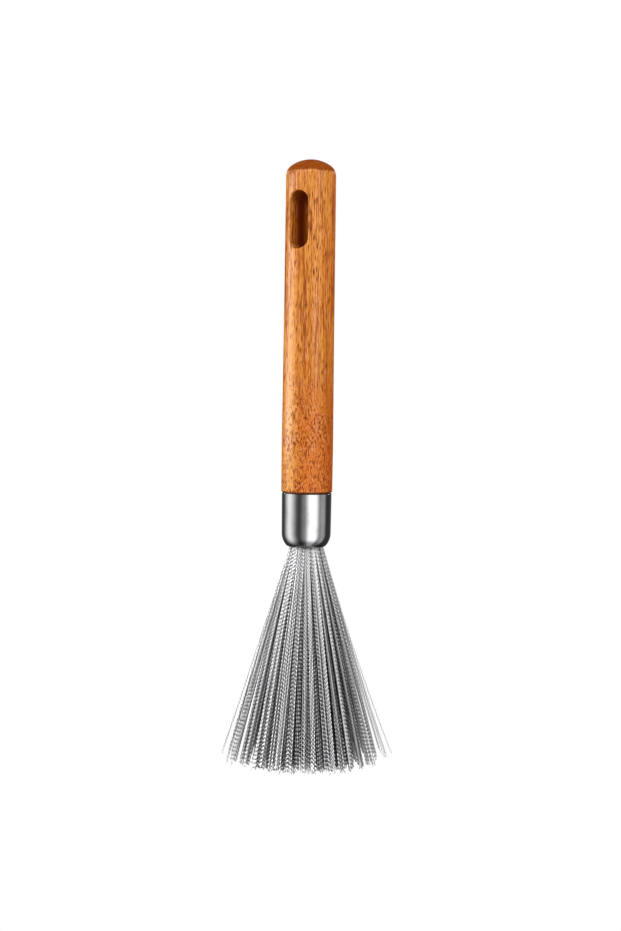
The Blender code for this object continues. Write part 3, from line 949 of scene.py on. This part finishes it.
def add_camera():
    """Looks at the brush from the front and its right, a little from above, and leans slightly."""
    turn, tilt, roll = np.radians([CAMERA_TURN, CAMERA_TILT, CAMERA_ROLL])
    forward = np.array([-np.sin(turn) * np.cos(tilt), np.cos(turn) * np.cos(tilt), -np.sin(tilt)])
    right = np.array([np.cos(turn), np.sin(turn), 0.0])
    up = np.cross(right, forward)
    target = np.array([0.0, 0.0, PICTURE_MIDDLE]) + PICTURE_SHIFT * right
    place = target - CAMERA_DISTANCE * forward
    leaned_up = np.cos(roll) * up - np.sin(roll) * right
    leaned_right = np.cos(roll) * right + np.sin(roll) * up
    matrix = np.eye(4)
    matrix[:3] = np.column_stack([leaned_right, leaned_up, -forward, place])
    lens = bpy.data.cameras.new("camera")
    lens.lens = CAMERA_LENS
    lens.clip_start = CAMERA_NEAR
    camera = bpy.data.objects.new("camera", lens)
    bpy.context.scene.collection.objects.link(camera)
    camera.matrix_world = matrix.T
    bpy.context.scene.camera = camera


def seen_directly(nodes):
    """1 where a ray comes from the camera, a reflection or glass, and 0 where it carries plain light."""
    kinds = ("Is Camera Ray", "Is Glossy Ray", "Is Transmission Ray")
    camera, glossy, through = (nodes.node("ShaderNodeLightPath", output=kind) for kind in kinds)
    return camera + glossy + through


def light_room():
    """White to the camera and to reflections. Its light on dull surfaces is weaker from above and right."""
    world = bpy.data.worlds.new("room")
    world.use_nodes = True
    nodes = Nodes(world.node_tree)
    direction = nodes.node("ShaderNodeTexCoord", output="Generated")
    x, y, z = (nodes.node("ShaderNodeSeparateXYZ", {}, {"Vector": direction}, axis) for axis in "XYZ")
    turn = np.radians(CAMERA_TURN)
    aside = x * np.cos(turn) + y * np.sin(turn)
    strength = nodes.step(z, *ROOM_LIGHT_BY_HEIGHT) * nodes.step(aside, *ROOM_LIGHT_BY_SIDE)
    seen = seen_directly(nodes)
    background = world.node_tree.nodes["Background"]
    nodes.feed(background, {"Color": WHITE, "Strength": seen + (1 - seen) * strength})
    world.cycles.sampling_method = "NONE"
    bpy.context.scene.world = world


def bare_material(name):
    """A new material with its node tree and its output, and nothing else yet."""
    material = bpy.data.materials.new(name)
    material.use_nodes = True
    return material, Nodes(material.node_tree), material.node_tree.nodes["Material Output"]


def tent_finish():
    """Light by where it comes from: each soft box fades over its edges, and all are dimmer low down."""
    material, nodes, end = bare_material("tent_of_soft_boxes")
    place = nodes.node("ShaderNodeNewGeometry", output="Position")
    x, y, z = (nodes.node("ShaderNodeSeparateXYZ", {}, {"Vector": place}, axis) for axis in "XYZ")
    turn = np.radians(CAMERA_TURN)
    ahead = x * np.sin(turn) - y * np.cos(turn)
    aside = x * np.cos(turn) + y * np.sin(turn)
    azimuth = aside.math("ARCTAN2", aside, ahead) * (180 / np.pi)
    elevation = z.math("ARCSINE", (z - TENT_LEVEL) * (1 / TENT_RADIUS)) * (180 / np.pi)
    total = TENT_DARK
    for box in SOFT_BOXES.values():
        light = box["radiance"]
        low, full, fade, high = box["rise"]
        light = light * nodes.step(elevation, low, full) * nodes.step(elevation, high, fade)
        start, full, fade, stop = box["turn"]
        round_back = azimuth if stop <= 180 else azimuth + 360 * azimuth.math("LESS_THAN", azimuth, 0.0)
        light = light * nodes.step(round_back, start, full) * nodes.step(round_back, stop, fade)
        total = light + total
    low, high, least = FOOT_DIMMING
    total = total * nodes.step(elevation, low, high, least, 1.0)
    light = nodes.node("ShaderNodeEmission", {}, {"Color": WHITE, "Strength": total})
    nodes.feed(end, {"Surface": light})
    return material


def add_tent():
    """A sphere round the ferrule that only reflections see: radius R at every angle from its middle."""
    angle = np.linspace(0, np.pi, TENT_ROWS + 1)[1:-1]
    profile = np.column_stack([np.sin(angle), np.cos(angle)]) * TENT_RADIUS + (0, TENT_LEVEL)
    points = turned(profile, TENT_COLUMNS)
    count = len(points)
    poles = np.array([[0, 0, TENT_LEVEL + TENT_RADIUS], [0, 0, TENT_LEVEL - TENT_RADIUS]])
    first = np.arange(TENT_COLUMNS)
    last = first + count - TENT_COLUMNS
    cap = np.column_stack([np.full(TENT_COLUMNS, count), first, np.roll(first, -1)])
    foot = np.column_stack([np.full(TENT_COLUMNS, count + 1), np.roll(last, -1), last])
    blocks = [closed_grid(len(profile), TENT_COLUMNS), cap, foot]
    tent = new_piece("tent", np.concatenate([points, poles]), blocks, tent_finish())
    tent.visible_camera = False
    tent.visible_diffuse = False
    tent.visible_shadow = False
    tent.visible_transmission = False


def add_floor():
    """A pale floor, which the camera and reflections see as white as the room."""
    half = FLOOR_SIZE / 2
    corners = np.array([[-half, -half], [half, -half], [half, half], [-half, half]])
    points = np.column_stack([corners, np.full(4, FLOOR_LEVEL)])
    material, nodes, end = bare_material("pale_floor")
    plain = nodes.node("ShaderNodeBsdfDiffuse", {}, {"Color": FLOOR_COLOUR})
    white = nodes.node("ShaderNodeEmission", {}, {"Color": WHITE, "Strength": 1.0})
    mixed = nodes.node("ShaderNodeMixShader", {}, {0: seen_directly(nodes), 1: plain, 2: white})
    nodes.feed(end, {"Surface": mixed})
    new_piece("floor", points, [np.array([[0, 1, 2, 3]])], material)


add_camera()
light_room()
add_floor()
add_tent()
bpy.context.scene.view_settings.view_transform = "Standard"
